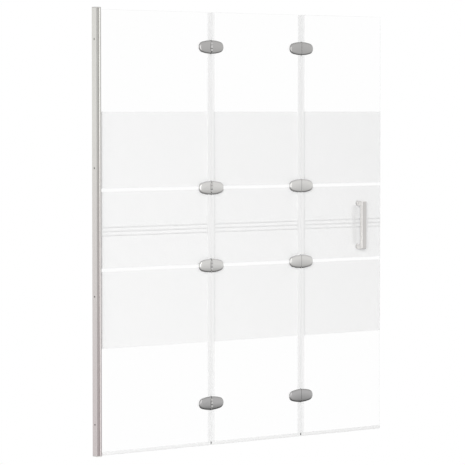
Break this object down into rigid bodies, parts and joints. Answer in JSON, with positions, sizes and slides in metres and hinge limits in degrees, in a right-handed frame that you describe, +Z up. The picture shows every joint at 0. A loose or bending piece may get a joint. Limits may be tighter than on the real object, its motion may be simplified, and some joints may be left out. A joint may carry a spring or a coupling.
{
  "type": "folding shower screen",
  "caption": "Folding glass screen for a bath rim: a wall profile, three panels on two folding lines with oval hinges, seals and a pull handle.",
  "frame": {"origin": "foot of the wall profile, on the wall face, in the middle plane of the glass", "axes": "+X away from the wall along the glass, -Y towards the side with the handle, +Z up"},
  "size_m": [1.198, 0.0445, 1.4],
  "materials": {
    "anodised_aluminium": "silver anodised extrusion",
    "cap_plastic": "moulded grey plastic",
    "gasket_rubber": "soft grey gasket",
    "clear_glass": "clear toughened glass, polished edges",
    "frosted_print": "frosted ceramic print on glass",
    "line_print": "fine printed lines",
    "seal_vinyl": "translucent soft vinyl",
    "clamp_rubber": "translucent clamping rubber",
    "sleeve_nylon": "natural nylon",
    "washer_nylon": "dark grey nylon",
    "stainless_steel": "turned stainless steel",
    "handle_metal": "satin metal",
    "hinge_metal": "satin plated die-cast metal"
  },
  "bodies": {
    "wall_panel": {"wall_channel": "anodised_aluminium", "glass_profile": "anodised_aluminium", "glazing_gasket": "gasket_rubber", "top_cap": "cap_plastic", "bottom_cap": "cap_plastic", "clamping_screws": "stainless_steel", "glass_panel_1": "clear_glass", "frosted_print_1": "frosted_print", "fine_lines_1": "line_print", "bottom_seal_1": "seal_vinyl", "edge_seal_1": "seal_vinyl", "fold_1_inner_leaf_1": "hinge_metal", "fold_1_inner_leaf_2": "hinge_metal", "fold_1_inner_leaf_3": "hinge_metal", "fold_1_inner_leaf_4": "hinge_metal", "fold_1_inner_covers": "hinge_metal", "fold_1_pins": "stainless_steel", "fold_1_washers": "washer_nylon", "hinge_pads_1": "clamp_rubber", "hinge_sleeves_1": "sleeve_nylon", "hinge_screws_1": "stainless_steel"},
    "middle_panel": {"glass_panel_2": "clear_glass", "frosted_print_2": "frosted_print", "fine_lines_2": "line_print", "bottom_seal_2": "seal_vinyl", "edge_seal_2_inner": "seal_vinyl", "edge_seal_2_outer": "seal_vinyl", "fold_1_outer_leaf_1": "hinge_metal", "fold_1_outer_leaf_2": "hinge_metal", "fold_1_outer_leaf_3": "hinge_metal", "fold_1_outer_leaf_4": "hinge_metal", "fold_1_outer_covers": "hinge_metal", "fold_2_inner_leaf_1": "hinge_metal", "fold_2_inner_leaf_2": "hinge_metal", "fold_2_inner_leaf_3": "hinge_metal", "fold_2_inner_leaf_4": "hinge_metal", "fold_2_inner_covers": "hinge_metal", "fold_2_pins": "stainless_steel", "fold_2_washers": "washer_nylon", "hinge_pads_2": "clamp_rubber", "hinge_sleeves_2": "sleeve_nylon", "hinge_screws_2": "stainless_steel"},
    "outer_panel": {"glass_panel_3": "clear_glass", "frosted_print_3": "frosted_print", "fine_lines_3": "line_print", "bottom_seal_3": "seal_vinyl", "edge_seal_3": "seal_vinyl", "fold_2_outer_leaf_1": "hinge_metal", "fold_2_outer_leaf_2": "hinge_metal", "fold_2_outer_leaf_3": "hinge_metal", "fold_2_outer_leaf_4": "hinge_metal", "fold_2_outer_covers": "hinge_metal", "hinge_pads_3": "clamp_rubber", "hinge_sleeves_3": "sleeve_nylon", "hinge_screws_3": "stainless_steel", "handle_grip": "handle_metal", "handle_washers": "clamp_rubber", "handle_sleeves": "sleeve_nylon", "handle_rosettes": "handle_metal", "handle_screws": "stainless_steel"}
  },
  "joints": [
    {"name": "fold_1", "type": "hinge", "parent": "wall_panel", "child": "middle_panel", "pos_m": [0.462, -0.0084, 0.7], "axis": [0, 0, -1], "range_deg": [0, 180]},
    {"name": "fold_2", "type": "hinge", "parent": "middle_panel", "child": "outer_panel", "pos_m": [0.843, 0.0084, 0.7], "axis": [0, 0, 1], "range_deg": [0, 180]}
  ]
}
